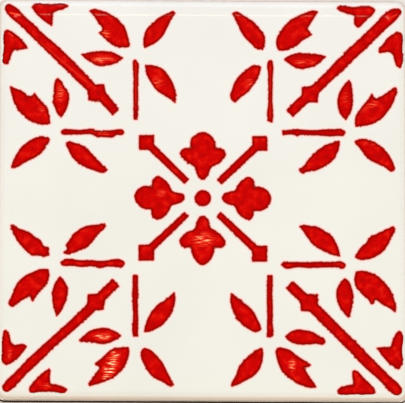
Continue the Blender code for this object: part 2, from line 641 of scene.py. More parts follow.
def spoke(box, end_above, end_below):
    """Return a spoke's outline: a square head, from its outer to its inner corner, and a rod."""
    outer_x, outer_y, inner_x, inner_y = box
    root_x = inner_x - math.copysign(ROD_ROOT, inner_x - outer_x)
    root_y = inner_y - math.copysign(ROD_ROOT, inner_y - outer_y)
    return [(outer_x, outer_y, TIP), (inner_x, outer_y, TIP), (inner_x, root_y, TIP),
            (*end_above, TIP), (*end_below, TIP), (root_x, inner_y, TIP), (outer_x, inner_y, TIP)]


def ring(middle, radius, count):
    """Return points round a circle."""
    turns = [2 * math.pi * step / count for step in range(count)]
    return [(middle[0] + radius * math.cos(a), middle[1] + radius * math.sin(a)) for a in turns]


spokes = [spoke(*shape) for shape in SPOKES]
enamel_dot = enamel("enamel_dot", [ring(DOT_MIDDLE, DOT_RADIUS, DOT_POINTS)], SPOKE_ROUGHNESS)
enamel_spokes = enamel("enamel_spokes", spokes, SPOKE_ROUGHNESS)

# %% [markdown]
# ## The fleurs
# Four flower-like dabs stand round the dot. One could be turned to give the other three, but they
# were stencilled one by one and differ slightly, so each has its own outline.

# %% The fleurs
FLEURS = [
    [(202.7, 132.3), (195.2, 135.2), (190.6, 141.4), (191.4, 148.3, TIP), (183.4, 148.9),
     (180.2, 152.4), (186.5, 161.7), (194.6, 166.9), (197.8, 175.9), (202.7, 179.4), (207.6, 175.9),
     (210.6, 168.1), (221.1, 161.7), (225.5, 153), (222.6, 149.2), (215.1, 148.3, TIP),
     (214.6, 141.4), (209.9, 135)],
    [(203, 215.9), (198.2, 219.3), (194.6, 228.7), (185.8, 233.1), (179.7, 241), (182.4, 246.8),
     (190.8, 246.9, TIP), (191.4, 251), (195.3, 259.8), (202.6, 265.1), (209.9, 260.3),
     (213.8, 252.1), (214.2, 246.9, TIP), (223, 246.9), (225.3, 242.6), (222, 236.8), (215.1, 230.6),
     (210.8, 228), (208.6, 222), (207.3, 218.2)],
    [(134.5, 197.5), (137.4, 190.2), (142.7, 186.5), (152.3, 186.7, TIP), (153.5, 179),
     (157.2, 176.3), (164.3, 179.8), (169.4, 185.6), (172.2, 191), (178, 193.1), (183.2, 194.4),
     (184.2, 197.4), (183.2, 200.4), (178, 203.4), (172, 205.3), (167.7, 212.5), (162.4, 217.7),
     (156.6, 219.5), (153.2, 217.6), (151.6, 208.9, TIP), (144.5, 208.6), (138.2, 204.6)],
    [(222.1, 197.4), (224.2, 193.8), (229, 192.2), (234.9, 190.3), (237.7, 185.4), (242.6, 180.2),
     (248.4, 177.1), (252.4, 179), (254, 187.7, TIP), (260.2, 187.3), (266.7, 190.1), (270.8, 197.6),
     (268.8, 205), (263.3, 209.8), (253, 210.8, TIP), (252.8, 216.8), (249.9, 219.9), (245, 218.7),
     (238.3, 213.3), (234.4, 206), (228.4, 204), (223.7, 201.2)],
]
enamel_fleurs = enamel("enamel_fleurs", FLEURS, LEAF_ROUGHNESS)

# %% [markdown]
# ## The bars
# Eight short bars frame the middle. They are the thinnest strokes, and a plain box would look
# ruled, so each has an outline that swells and dips as the brush did.

# %% The bars
BARS = [
    [(134.4, 59.8), (133.2, 61.4), (133.2, 66), (133.7, 75), (133.6, 90), (133.7, 105),
     (133.8, 119.4, TIP), (137.4, 119.6, TIP), (137.8, 110), (137.9, 95), (138.1, 75), (138.4, 66),
     (137.6, 62.4)],
    [(268.9, 60.7), (268.2, 62), (268.4, 75), (268.5, 90), (268.2, 106), (267.3, 116),
     (268.6, 121.4), (272, 121.6), (272.6, 118), (272.2, 100), (272.4, 80), (272.6, 64),
     (271.8, 60.6)],
    [(133, 275, TIP), (137.7, 275, TIP), (137.9, 292), (137.6, 308), (138, 322), (137.6, 336.4, TIP),
     (133.2, 336.5, TIP), (132.4, 330), (133.2, 318), (132.6, 300)],
    [(267.5, 275.4, TIP), (272.5, 275.2, TIP), (272.3, 295), (272.6, 312), (272.5, 325),
     (273.2, 331.5), (272.4, 337, TIP), (267, 336.9, TIP), (267.4, 315), (267, 295)],
    [(60.9, 131.8), (63.2, 129.8), (71, 129.5), (79, 130.2), (88, 129.2), (92.5, 129), (95.5, 130.6),
     (106, 130.6), (114, 130.2), (119.5, 129.5), (123.4, 130.6), (124, 133), (121.8, 134.7),
     (116, 134.9), (113.5, 136.7), (105, 136.9), (96, 136.4), (92.5, 134.6), (80, 134.3),
     (68, 134.5), (62.4, 134.2)],
    [(282.2, 130.7, TIP), (290, 130), (295.5, 129.3), (304, 130), (313, 130.4), (324, 129.6),
     (334, 129.3), (341.5, 129.5), (345.1, 132), (344.2, 134.9), (337, 135.7), (326, 136),
     (318, 135.3), (306, 135), (299, 135.2), (297.5, 136.2), (295.5, 135.2), (283, 135.1, TIP)],
    [(60.8, 263.4), (64, 259.9), (70.5, 259), (77, 260.2), (90, 260.3), (105, 261), (111, 259.9),
     (120.6, 259.8), (124.2, 262.4), (122.8, 266.5), (114, 266.6), (107, 266.4), (100, 268),
     (94, 266.4), (80, 266.7), (73, 265.6), (65, 265.7), (61.8, 265)],
    [(281.2, 264.6), (284, 262.5), (291, 262.2), (305, 262.4), (320, 262), (333, 262.2), (342, 262),
     (345.4, 264.6), (344, 268.2), (338, 267.4), (325, 267.2), (310, 267.8), (298, 267),
     (284, 267.6)],
]
enamel_bars = enamel("enamel_bars", BARS, BAR_ROUGHNESS)

# %% [markdown]
# ## The stalks
# Four diagonal stalks run in from the corners, each with a round cap, a square node and a stub.
# The cap's points are smooth, and those of the node and the stub are sharp.

# %% The stalks
STALKS = [
    [(5, 9), (6.2, 5.4), (9.2, 4.1), (14.3, 6.8), (26, 17.8), (35.7, 26.6), (45, 35.6), (57.1, 45.9),
     (69, 57.2), (80.4, 68.6), (95.2, 84.8, TIP), (103.9, 84.3, TIP), (105.5, 92.4, TIP),
     (119, 109.2, TIP), (112.6, 115, TIP), (99.6, 100.9, TIP), (88.6, 100.3, TIP), (87.8, 91, TIP),
     (77, 80.8), (66, 70), (50, 54.3), (35.7, 40.4), (20, 25), (6.4, 11.8)],
    [(390.5, 10.2), (394.8, 8.9), (399.8, 9.4), (401.6, 12.4), (399.6, 15.4), (384.5, 30.1),
     (366.4, 47.8), (352.7, 60.6), (343.2, 70.2), (332, 80.1), (318.4, 93.4, TIP),
     (317.5, 102.6, TIP), (308.7, 102, TIP), (292.9, 116.8, TIP), (286.2, 110.2, TIP),
     (301.9, 95.1, TIP), (302, 87.2, TIP), (311.5, 86.1, TIP), (325.1, 73.2), (341.5, 56),
     (356.1, 42.2), (372.5, 26.7)],
    [(2.4, 386.4), (4, 390.8), (7.6, 391.6), (11.4, 389.4), (19.8, 380.8), (30.1, 370.5),
     (44.8, 356.7), (56, 345.5), (68.9, 334.3), (82.7, 322.2), (95.6, 310.2, TIP),
     (103.2, 309.9, TIP), (104.6, 300.4, TIP), (119.3, 285.5, TIP), (112.4, 279, TIP),
     (97.4, 293.8, TIP), (87.8, 294.5, TIP), (87.4, 304.2, TIP), (75.8, 315.4), (62, 328.3),
     (45.6, 342.9), (25.8, 361.4), (14.6, 373), (5.2, 382.4)],
    [(292.8, 281.2, TIP), (306.8, 294, TIP), (317.5, 295, TIP), (317.5, 304.3, TIP), (330.3, 316.8),
     (344.9, 331.5), (359.5, 345.7), (375, 361.6), (390.5, 377.1), (399, 385), (401.9, 390.3),
     (400.4, 394), (395.9, 395.1), (391.8, 393), (379.3, 379.9), (364.7, 367), (350.1, 351.9),
     (335.4, 336.9), (321.7, 323.1), (309.4, 311, TIP), (301.3, 311, TIP), (299.7, 301.3, TIP),
     (285.9, 288.4, TIP)],
]
enamel_stalks = enamel("enamel_stalks", STALKS, STALK_ROUGHNESS)

# %% [markdown]
# ## The small leaves
# Two small leaves stand beside each stalk. Most have two sharp tips and full sides, so about a
# dozen points are enough for each.

# %% The small leaves
SMALL_LEAVES = [
    [(81.3, 54.4, TIP), (90.5, 52.5), (104.6, 51.3), (112.4, 52.4), (117.8, 55), (122.4, 58.1, TIP),
     (117.8, 62), (109.2, 65), (98.6, 65.7), (90.6, 62), (84.7, 57.7)],
    [(57.7, 77.8, TIP), (60.6, 80.4), (64.1, 86.1), (68, 92.4), (68.9, 96), (68, 103.3),
     (65.4, 111.1), (61.1, 117.3, TIP), (57.4, 113.4), (55.1, 107.2), (53.4, 103), (53.8, 95.6),
     (54.2, 88), (55.2, 80.9)],
    [(284.2, 59.6, TIP), (288.9, 56), (297.6, 53.2), (308.7, 53.9), (319.9, 54.9),
     (325.8, 56.7, TIP), (319.9, 62), (313, 66.3), (305.5, 68.4), (296.7, 68), (289.8, 64.1)],
    [(348.8, 80, TIP), (350.9, 83), (351.8, 89.5), (352.8, 98.1), (352.2, 105.9), (350.1, 113.6),
     (345.6, 119.8, TIP), (341.3, 115.4), (338.4, 108.5), (337.8, 100.7), (338.9, 94.7),
     (342.3, 87.8)],
    [(60, 276.5, TIP), (63.7, 280.5), (66.7, 286.1), (67.8, 291.4), (66.7, 298.1), (63.7, 305.9),
     (60.3, 311.9), (56.4, 316, TIP), (54.7, 311), (52.8, 302.4), (52.2, 295.6), (53.4, 287.8),
     (56, 281.8)],
    [(78.7, 340.7, TIP), (82.7, 336.9), (89.5, 331.3), (97, 328.9), (106.8, 328.3), (113.6, 330.8),
     (121.4, 335.7, TIP), (115.4, 339.9), (105, 343.8), (94.7, 342.9), (86.1, 341.6), (80.9, 341.8)],
    [(344.7, 278.2, TIP), (348.3, 281), (351.8, 288.7), (353.3, 296.4), (351.8, 306.7),
     (350.1, 315.2), (348.3, 318, TIP), (344, 312.8), (338.9, 305), (336.7, 297.3), (337, 289.5),
     (340.6, 282.6)],
    [(285, 336.7, TIP), (289.8, 332.6), (296.7, 329.8), (304.4, 330.4), (312.2, 332.1), (319.1, 336),
     (324.5, 339.4), (325.3, 342.4), (323, 344.3), (316.5, 343.7), (307, 344.5), (296.7, 343.8),
     (289.8, 341.2)],
]
enamel_small_leaves = enamel("enamel_small_leaves", SMALL_LEAVES, LEAF_ROUGHNESS)

# %% [markdown]
# ## The big notched leaves
# Two big leaves stand beside each stalk as well. Each has a bite in its inner side, with a tooth
# beside it, and sharp points give both.

# %% The big notched leaves
NOTCHED_LEAVES = [
    [(89.9, 10.9), (92.2, 9.4), (97.3, 9.9), (104.1, 11.6), (114.2, 16.8), (122.7, 24.4),
     (127, 33.8), (129.1, 43.1), (129.1, 46.8, TIP), (123.1, 47.5), (117.9, 47), (113.1, 45.2),
     (107.9, 40.9), (98.6, 32.7, TIP), (102.3, 29.9), (101.8, 26.6), (99.4, 24.5, TIP), (95.6, 18.1),
     (92.1, 13.1)],
    [(10.2, 86, TIP), (13.8, 87.8), (20.2, 90.4), (25, 93.4), (26.9, 95.5), (31.9, 95.8),
     (34.4, 92.8, TIP), (37.9, 97.5), (42.2, 102.5), (46.5, 107.6), (49.1, 114.5),
     (49.9, 123.4, TIP), (43, 124.7), (36.2, 123.1), (28.4, 119.7), (21.5, 113.6), (15.5, 105),
     (12.1, 95.6), (10.5, 89.5)],
    [(317.9, 11.8, TIP), (312.9, 10.7), (306, 12.8), (297.4, 16.7), (289.5, 21.1), (284.2, 26.6),
     (279.9, 32.4), (276.9, 38.7), (276.4, 43.8), (278.9, 49.7), (284.3, 50.4), (290.9, 48.2),
     (297, 45.2), (302.2, 40.6), (307.3, 37.6), (312.2, 34.4, TIP), (309.4, 31.9), (307.4, 29.3),
     (309.1, 25.5), (313.4, 18.3)],
    [(395.2, 87.5, TIP), (396.7, 90), (394.8, 97.3), (393.1, 102.5), (387.1, 112), (381.1, 118.8),
     (371.6, 124), (361.3, 126.1), (355.6, 126.7, TIP), (355.2, 119.7), (357.2, 113.6),
     (362.1, 106.8), (367.3, 100.7), (372, 93.6, TIP), (374, 97), (375.4, 99.5, TIP), (382.8, 95.6),
     (390.5, 90.4)],
    [(48.3, 269.4, TIP), (40.5, 269.5), (33.6, 271.9), (25, 276.2), (18.9, 281.5), (14.6, 288.7),
     (11.6, 296.4), (9, 304.2), (12.4, 306.7), (16.4, 304.2), (21.5, 300.3), (26.6, 297.6),
     (30.4, 296, TIP), (31.2, 299.6), (33.1, 301.7, TIP), (36, 296.2), (41.3, 290), (46.5, 283.5),
     (49, 277)],
    [(128.3, 347.2, TIP), (129, 351.5), (127.4, 359.3), (124, 367), (118, 373.9), (110.2, 379.1),
     (101.6, 382.5), (89.4, 386, TIP), (88.2, 384, TIP), (91.5, 379.7), (95.6, 373.9),
     (100.3, 367.8, TIP), (94.2, 363.4, TIP), (100.7, 359.3), (107.6, 352.6), (114, 348.6),
     (120.5, 347.7)],
    [(356, 271.6, TIP), (363, 271), (371.6, 273.3), (381.1, 279.2), (388, 286.9), (391.8, 292.3),
     (394.4, 300.7), (395.9, 308), (395.3, 312.1, TIP), (388.8, 307.6), (381.1, 303.3),
     (375.4, 299, TIP), (374, 302), (372, 305.1, TIP), (369, 300.7), (362.1, 293.8), (356.1, 286.9),
     (354.7, 279.4)],
    [(277.3, 348.4), (282.9, 348.1), (289.8, 350.4), (295.8, 355), (302.7, 359.7),
     (311.2, 364.9, TIP), (308.7, 366.6), (304, 367.4, TIP), (307, 373), (312.2, 380.8),
     (316.5, 387.3, TIP), (310.5, 387.6), (301, 385.1), (290.7, 379.1), (282.9, 372.2),
     (278.6, 363.6), (276.4, 355.8), (276.1, 350.6)],
]
enamel_notched_leaves = enamel("enamel_notched_leaves", NOTCHED_LEAVES, LEAF_ROUGHNESS)

# %% [markdown]
# ## The plain leaves
# A plain leaf grows on each side of every bar. Those of the upright bars and those of the level
# bars are two pieces, which keeps each list of outlines short.

# %% The plain leaves beside the upright bars
UPRIGHT_LEAVES = [
    [(144.4, 47.9, TIP), (143.5, 40.5), (144.8, 33.6), (148.2, 27.6), (153.8, 22), (161, 16.6),
     (168, 13.4), (172.9, 11.7), (175.4, 13, TIP), (172.1, 17.8), (166.6, 28.6), (161.6, 37.1),
     (153.4, 43.8)],
    [(232.3, 13, TIP), (235.8, 11.9), (244.3, 16.2), (253.8, 22.4), (259.6, 28.8), (263.3, 33.4),
     (264.7, 43), (262.6, 49.4), (259, 49.4), (250.6, 43), (242.2, 33.6), (237.9, 24.6)],
    [(145.6, 65.2, TIP), (152.2, 65.3), (161.7, 68.7), (167.6, 74.9), (173.5, 85.2), (175.8, 93.8),
     (175.5, 103, TIP), (169.6, 98.6), (164.3, 95.3), (158.2, 91.3), (149.8, 80.1), (146.4, 73.8)],
    [(260.8, 66.3, TIP), (253.8, 65.7), (245.4, 70.6), (237.6, 78.3), (232.1, 89.5), (230.8, 98),
     (234.2, 102.1), (241, 96.8), (246.4, 93), (253.2, 85), (259, 74.7)],
    [(174.3, 292.3, TIP), (175.2, 298), (172.9, 309), (167.7, 318.8), (160.8, 325.9), (152.6, 330.2),
     (144.3, 331.6, TIP), (146.8, 321.4), (151.4, 312.3), (157.4, 305.2), (164.3, 300.5),
     (169.6, 296.4)],
    [(231.2, 292.9, TIP), (237.2, 297.6), (245.8, 304.5), (252.6, 310.7), (257.1, 319),
     (260.2, 330.3), (256.6, 331.9), (248, 328.5), (238.9, 321.1), (233.2, 311), (230.6, 301.2)],
    [(143.9, 348.4), (141.3, 351.4), (142, 359.3), (145.8, 367.7), (152.2, 376), (162.6, 381.8),
     (172, 385.7), (173.9, 384.4, TIP), (168.4, 374.8), (163, 363.8), (156.5, 355.8), (149, 349.5)],
    [(261.8, 348.4), (262.9, 353.6), (262.1, 361), (259.2, 369.6), (253.8, 375.8), (245.4, 380.3),
     (238.3, 384.2), (231.2, 385.9), (231.4, 384.2), (235.4, 376.5), (240, 365.3), (246.9, 357.7),
     (255.5, 350.9)],
]
enamel_upright_leaves = enamel("enamel_upright_leaves", UPRIGHT_LEAVES, LEAF_ROUGHNESS)

# %% The plain leaves beside the level bars
LEVEL_LEAVES = [
    [(11.2, 167.9, TIP), (13, 161.7), (16.6, 154.6), (21.2, 147.9), (28.4, 141.7), (37, 137.4),
     (43, 136.6), (49.9, 139.1, TIP), (45.4, 147.1), (40.5, 153.3), (34.4, 157.6), (24, 162.6),
     (17, 167)],
    [(66.6, 142.9), (68.9, 141.6), (74, 142.8), (82.7, 146), (90.4, 152.2), (96.4, 158.9),
     (102.5, 165), (107, 170.2), (104.4, 172.5), (96.4, 171.1), (93, 169.8), (84.4, 166.7),
     (76.6, 161.5), (71.3, 155.7), (68, 148.1)],
    [(11, 225.2), (14.2, 225.6), (20.2, 229.3), (27.6, 231.6), (34.4, 236.6), (40.5, 240.7),
     (43.9, 246.3), (49, 247.9), (48.4, 251), (49.3, 254.9, TIP), (43.9, 256.6), (37.9, 255.3),
     (32.3, 255.7, TIP), (26.9, 251.5), (19.8, 243.7), (14.6, 235.7), (11.6, 228.4)],
    [(105.9, 224), (104.8, 227.3), (98.2, 234), (93, 240.7), (87, 247.1), (80.1, 250.1), (73.2, 253),
     (66.9, 254.3), (63.6, 252.7), (67.4, 248.6), (65.6, 245.3, TIP), (68.9, 240.9), (72.4, 235.1),
     (77.5, 231.2), (84.4, 226.9), (93, 225.2), (98, 224.8)],
    [(339.4, 141.3), (339.2, 146.2), (337.1, 153.1), (334.1, 158.4), (329.4, 163.2), (321.7, 167.7),
     (314.8, 170.5), (309.6, 170.9), (301.6, 172.8), (299.5, 170.2), (304.4, 165.6), (308.7, 159.3),
     (315.8, 152.4), (323.4, 146.4), (332, 143)],
    [(355.4, 140.9), (357.4, 140), (365.6, 139.3), (370.9, 140.6), (377, 143.8), (384.5, 149.8),
     (389.7, 156.5), (393.3, 163.6), (394.5, 169.8), (392.5, 171.3), (384.5, 167), (376.8, 163.4),
     (368.1, 158.5), (361.1, 149.6)],
    [(299.5, 226.5, TIP), (302.8, 225.2), (310.6, 226.2), (316.9, 226.9), (322.9, 230.1),
     (330.9, 235.5), (335.3, 241.7), (338.3, 248.4), (339.9, 256.4, TIP), (332.6, 254.6),
     (323.1, 250.6), (314.4, 245.8), (308.1, 238.2), (303.8, 231.7)],
    [(394, 226.6), (394.9, 229), (392.3, 235.5), (388, 244.3), (382.8, 251.4), (375.9, 256.2),
     (367.3, 259.3), (359.5, 259.3), (355, 257.4, TIP), (357.2, 252.9), (361.5, 246.9),
     (366.6, 242.6), (368.8, 238.3), (377.6, 233.6), (384.5, 230.3), (390.5, 227.6)],
]
enamel_level_leaves = enamel("enamel_level_leaves", LEVEL_LEAVES, LEAF_ROUGHNESS)

# %% [markdown]
# ## Arrowheads
# Two arrowheads lie against the border beside each stalk's cap. Each is a broad triangle with a
# notch on its inner side.

# %% The arrowheads
ARROWHEADS = [
    [(32.2, 5.9), (34.8, 4.1), (48.5, 4.5), (64.8, 4.2), (68.1, 5.9), (63.7, 8.8), (56, 11),
     (52.5, 13, TIP), (52.3, 20), (51.7, 25.8, TIP), (46.5, 22.5), (38.7, 15.9), (34.3, 10.8)],
    [(4.6, 31.4), (7.1, 29.9), (11.2, 31.5), (19.8, 38.1), (24.6, 43.2), (27.7, 48.4, TIP),
     (22, 49.1), (13.9, 49.8, TIP), (11.2, 55.3), (8.6, 61.4), (6, 64.2), (4.1, 63.2), (3.9, 48.2),
     (3.9, 36)],
    [(336.9, 8.4, TIP), (338.9, 6.4), (351.8, 7.3), (372.7, 7.9), (374.7, 9.6), (372.5, 14),
     (367.3, 18.9), (362.1, 24.3), (358.3, 27.5), (355.1, 25), (354.1, 20.7), (354.8, 15.9, TIP),
     (347.5, 13.4), (341.5, 11.8)],
    [(398.9, 31.8), (401.6, 34.2), (402.2, 48.2), (402.4, 63.9), (400.1, 67.9), (396.6, 65.6),
     (394.5, 59.4), (392.7, 54.4), (388.9, 51.9), (383.6, 52.4), (379, 52.4), (378.7, 50.2),
     (382.8, 44.8), (387.1, 38.7), (393.1, 34.4)],
    [(4.9, 329.9), (8.2, 332.3), (9.9, 338.6), (11.2, 344.5, TIP), (17.2, 344.9), (22.8, 344.2),
     (27, 346.5, TIP), (22.4, 352.4), (17.2, 358.4), (11.2, 362.8), (5.2, 364.5), (2.4, 361.8),
     (2.2, 352.4), (2.6, 336.9)],
    [(49.2, 368.5, TIP), (50.4, 370.7, TIP), (49.8, 377.3), (50.3, 384.3, TIP), (56, 384.8),
     (62, 386.8), (67.1, 390), (64.8, 392.2), (51.7, 391.5), (38.7, 391.8), (30.3, 392.1),
     (29.1, 389.6), (31.9, 384.2), (37, 378.6), (43, 372.7)],
    [(399.2, 331.1), (401.8, 333.4), (401.8, 349.8), (401.8, 365.3), (399.2, 368.9), (393.1, 366.3),
     (385.4, 359.3), (379.3, 351.5), (377, 348, TIP), (383.6, 347.4), (391.1, 347.2, TIP),
     (392.3, 342), (394.8, 336)],
    [(354.7, 370.3), (357.2, 371.4), (363, 377.3), (369.9, 384.2), (374.8, 391.3), (373.8, 393.9),
     (369, 394.5), (354.4, 394.2), (343.2, 394.7), (338.1, 393.9), (337.6, 391.1), (340.6, 387.7),
     (347.5, 385.6), (353.4, 384.5, TIP), (353.1, 379.9), (352.4, 374.8), (352.8, 371.3)],
]
enamel_arrowheads = enamel("enamel_arrowheads", ARROWHEADS, LEAF_ROUGHNESS)

# %% [markdown]
# ## Materials
# Each material is a small tree of nodes. One function adds a node with its settings and links,
# and another turns the sRGB hex value of a colour into the linear numbers that a shader wants.
# The third measures outwards to the tile's outline and follows its rounded corners. A Mix node has
# inputs of several kinds under one name, so its two colours and their mix go by number.

# %% Tools for materials
MIX_FIRST = 6
MIX_SECOND = 7
MIX_RESULT = 2


def colour(code):
    """Return the linear colour of an sRGB hex value such as 'F4F1E8'."""
    shares = [int(code[i:i + 2], 16) / 255 for i in (0, 2, 4)]
    linear = [s / 12.92 if s <= 0.04045 else ((s + 0.055) / 1.055) ** 2.4 for s in shares]
    return (*linear, 1)


def fill(tree, node, values=None, links=None):
    """Set some inputs of a node and link others."""
    for name, value in (values or {}).items():
        node.inputs[name].default_value = value
    for name, socket in (links or {}).items():
        tree.links.new(socket, node.inputs[name])


def add_node(tree, kind, values=None, links=None, stops=None, out=0, **settings):
    """Add a node with its settings, inputs, links and colour stops, and return one output."""
    made = tree.nodes.new(kind)
    for name, value in settings.items():
        setattr(made, name, value)
    fill(tree, made, values, links)
    if stops:
        ramp = made.color_ramp.elements
        while len(ramp) < len(stops):
            ramp.new(0.5)
        for element, (place, code) in zip(ramp, stops):
            element.position = place
            element.color = colour(code)
    return made.outputs[out]


def new_material(name):
    """Return a material, its node tree and its shader."""
    material = bpy.data.materials.new(name)
    material.use_nodes = True
    return material, material.node_tree, material.node_tree.nodes["Principled BSDF"]


def reach(tree, place):
    """Return how far a place lies outside the square of the four corners' centres."""
    size = add_node(tree, "ShaderNodeVectorMath", links={0: place}, operation="ABSOLUTE")
    beyond = add_node(tree, "ShaderNodeVectorMath", {1: [HALF - CORNER_RADIUS] * 3}, {0: size},
                      operation="SUBTRACT")
    beyond = add_node(tree, "ShaderNodeVectorMath", {1: (0, 0, 0)}, {0: beyond},
                      operation="MAXIMUM")
    return add_node(tree, "ShaderNodeVectorMath", links={0: beyond}, operation="LENGTH",
                    out="Value")


# %% [markdown]
# ### Tin glaze
# A cream-white tin glaze is a glass made opaque with tin oxide: clear depth, very smooth, IOR
# about 1.5. It gives the eye a soft white with a crisp reflection that ripples a little, because
# the melt levels unevenly, in cells of 3 mm. The tint drifts slightly over the face, in cells of
# 22 mm. On the rounded edge and the sides the glaze ran thin, so the body shows through, and it
# is thick and white again in the roll at its lower end. Height alone steers that, so no mask has
# to be painted.

# %% Tin glaze
TINT_CELLS = 0.045 / MM
RIPPLE_CELLS = 0.32 / MM
RIPPLE_HEIGHT = 0.02 * MM
WORN_ABOVE = {"From Min": THICKNESS - 0.22 * MM, "From Max": THICKNESS - 1.15 * MM}
WORN_BELOW = {"From Min": GLAZE_END + 0.5 * MM, "From Max": GLAZE_END + 1.6 * MM}
WORN_MOST = {"To Max": 0.74}
GLASS_IOR = 1.5


def tin_glaze():
    """Return the cream-white glaze."""
    material, tree, shader = new_material("tin_glaze")
    place = add_node(tree, "ShaderNodeTexCoord", out="Object")
    drift = add_node(tree, "ShaderNodeTexNoise", {"Scale": TINT_CELLS, "Detail": 2},
                     {"Vector": place})
    tint = add_node(tree, "ShaderNodeValToRGB", links={"Fac": drift},
                    stops=[(0.3, "EBE9E1"), (0.7, "EFEDE5")])
    height = add_node(tree, "ShaderNodeSeparateXYZ", links={"Vector": place}, out="Z")
    above = add_node(tree, "ShaderNodeMapRange", WORN_ABOVE | WORN_MOST, {"Value": height})
    below = add_node(tree, "ShaderNodeMapRange", WORN_BELOW | WORN_MOST, {"Value": height})
    worn = add_node(tree, "ShaderNodeMath", links={0: above, 1: below}, operation="MINIMUM")
    shown = add_node(tree, "ShaderNodeMix", {MIX_SECOND: colour("B9A494")},
                     {"Factor": worn, MIX_FIRST: tint}, data_type="RGBA", out=MIX_RESULT)
    peel = add_node(tree, "ShaderNodeTexNoise", {"Scale": RIPPLE_CELLS, "Detail": 2},
                    {"Vector": place})
    ripple = add_node(tree, "ShaderNodeBump", {"Strength": 0.25, "Distance": RIPPLE_HEIGHT},
                      {"Height": peel})
    fill(tree, shader, {"Roughness": 0.06, "IOR": GLASS_IOR},
         {"Base Color": shown, "Normal": ripple})
    return material


# %% [markdown]
# ### Red enamel
# Red overglaze enamel is a soft lead glass with cadmium colour, brushed on and fired. It is a
# saturated red with a darker line round each dab, where it drew together, and orange to cream
# streaks where the brush left it thin. The stored depth picks the colour from foot to middle,
# noise in cells of 2 mm makes it deeper or brighter, and noise drawn out sideways, 2.4 mm long
# and 0.4 mm wide, makes the streaks.

# %% Red enamel
PATCH_CELLS = 0.48 / MM
STREAK_CELLS = (0.42 / MM, 2.3 / MM, 0)
STREAK_HEIGHT = 0.02 * MM
DEPTH_RANGE = {"From Min": -FOOT_WIDTH, "From Max": 1}
INNER_RANGE = {"From Min": 0.25, "From Max": 0.7}
POLISH_RANGE = {"From Min": 0.35, "From Max": 0.75, "To Min": 0.04, "To Max": 0.34}
DEEP_RANGE = {"From Min": 0.55, "From Max": 0.3, "To Max": 0.9}
BRIGHT_RANGE = {"From Min": 0.54, "From Max": 0.7, "To Max": 0.9}
STREAK_RANGE = {"From Min": 0.42, "From Max": 0.62, "To Min": 0.12, "To Max": 1.2}
BARE_AND_HIGHLIGHT_RANGE = {"From Min": 0.03, "From Max": 0.2}


def red_enamel():
    """Return the red enamel, which reads the depth in the edge, the brush marks and the painted
    highlights.
    """
    material, tree, shader = new_material("red_enamel")
    place = add_node(tree, "ShaderNodeTexCoord", out="Object")
    rim, thin, scratches_and_highlights = [add_node(tree, "ShaderNodeAttribute", attribute_name=name, out="Fac")
                            for name in ("rim", "thin", "scratch_and_highlight")]
    depth = add_node(tree, "ShaderNodeMapRange", DEPTH_RANGE, {"Value": rim})
    body = add_node(tree, "ShaderNodeValToRGB", links={"Fac": depth},
                    stops=[(0, "EEEEEA"), (0.11, "F4E4DF"), (0.22, "FAD9D2"), (0.32, "F2C0B8"),
                           (0.4, "CC685F"), (0.46, "98180F"), (0.54, "8A0401"), (0.62, "920201"),
                           (0.76, "BA0201"), (1, "D00201")])
    patch = add_node(tree, "ShaderNodeTexNoise", {"Scale": PATCH_CELLS, "Detail": 4},
                     {"Vector": place})
    inner = add_node(tree, "ShaderNodeMapRange", INNER_RANGE, {"Value": rim})
    for limits, code in ((DEEP_RANGE, "B00201"), (BRIGHT_RANGE, "E2180B")):
        share = add_node(tree, "ShaderNodeMapRange", limits, {"Value": patch})
        amount = add_node(tree, "ShaderNodeMath", links={0: share, 1: inner}, operation="MULTIPLY")
        body = add_node(tree, "ShaderNodeMix", {MIX_SECOND: colour(code)},
                        {"Factor": amount, MIX_FIRST: body}, data_type="RGBA", out=MIX_RESULT)
    level = add_node(tree, "ShaderNodeMapping", {"Scale": STREAK_CELLS}, {"Vector": place})
    lines = add_node(tree, "ShaderNodeTexNoise", {"Scale": 1, "Detail": 3}, {"Vector": level})
    spread = add_node(tree, "ShaderNodeMapRange", STREAK_RANGE, {"Value": lines})
    streaks = add_node(tree, "ShaderNodeMath", links={0: thin, 1: spread}, operation="MULTIPLY")
    # The scratch lines, with the two painted highlights on the upper stalks' ends among them,
    # lighten the red like the dry streaks.
    marks = add_node(tree, "ShaderNodeMath", links={0: streaks, 1: scratches_and_highlights},
                     operation="MAXIMUM")
    # Cream to orange where the enamel is thin, and the same colours paint the two highlights.
    bare_and_highlight_colour = add_node(tree, "ShaderNodeValToRGB", links={"Fac": marks},
                    stops=[(0, "D80604"), (0.3, "E8301C"), (0.55, "F5704C"), (0.8, "FBC48E"),
                           (1, "FDEBC8")])
    worn = add_node(tree, "ShaderNodeMapRange", BARE_AND_HIGHLIGHT_RANGE, {"Value": marks})
    amount = add_node(tree, "ShaderNodeMath", links={0: worn, 1: inner}, operation="MULTIPLY")
    shown = add_node(tree, "ShaderNodeMix", None,
                     {"Factor": amount, MIX_FIRST: body, MIX_SECOND: bare_and_highlight_colour}, data_type="RGBA",
                     out=MIX_RESULT)
    bump = add_node(tree, "ShaderNodeBump", {"Strength": 0.06, "Distance": STREAK_HEIGHT},
                    {"Height": lines})
    polish = add_node(tree, "ShaderNodeMapRange", POLISH_RANGE, {"Value": rim})
    fill(tree, shader, {"Roughness": 0.05, "IOR": GLASS_IOR},
         {"Base Color": shown, "Normal": bump, "Specular IOR Level": polish})
    return material


# %% [markdown]
# ### Biscuit clay
# The bare body is pressed earthenware: matt and buff, with lighter and darker grains about half a
# millimetre across. Its foot is darkened to brown up to 1.2 mm above the bed: painted shade for
# the shadowed gap where the tile meets the floor. The painted shade is told by place, low and far
# out, so it follows the corners too.

# %% Biscuit clay
GRAIN_CELLS = 1.8 / MM
GRAIN_HEIGHT = 0.05 * MM
# How high and how far out the painted shade on the foot reaches.
FOOT_SHADE_UP = {"From Min": 1.3 * MM, "From Max": 1.2 * MM}
FOOT_SHADE_OUT = {"From Min": CORNER_RADIUS - MM, "From Max": CORNER_RADIUS - 0.5 * MM}


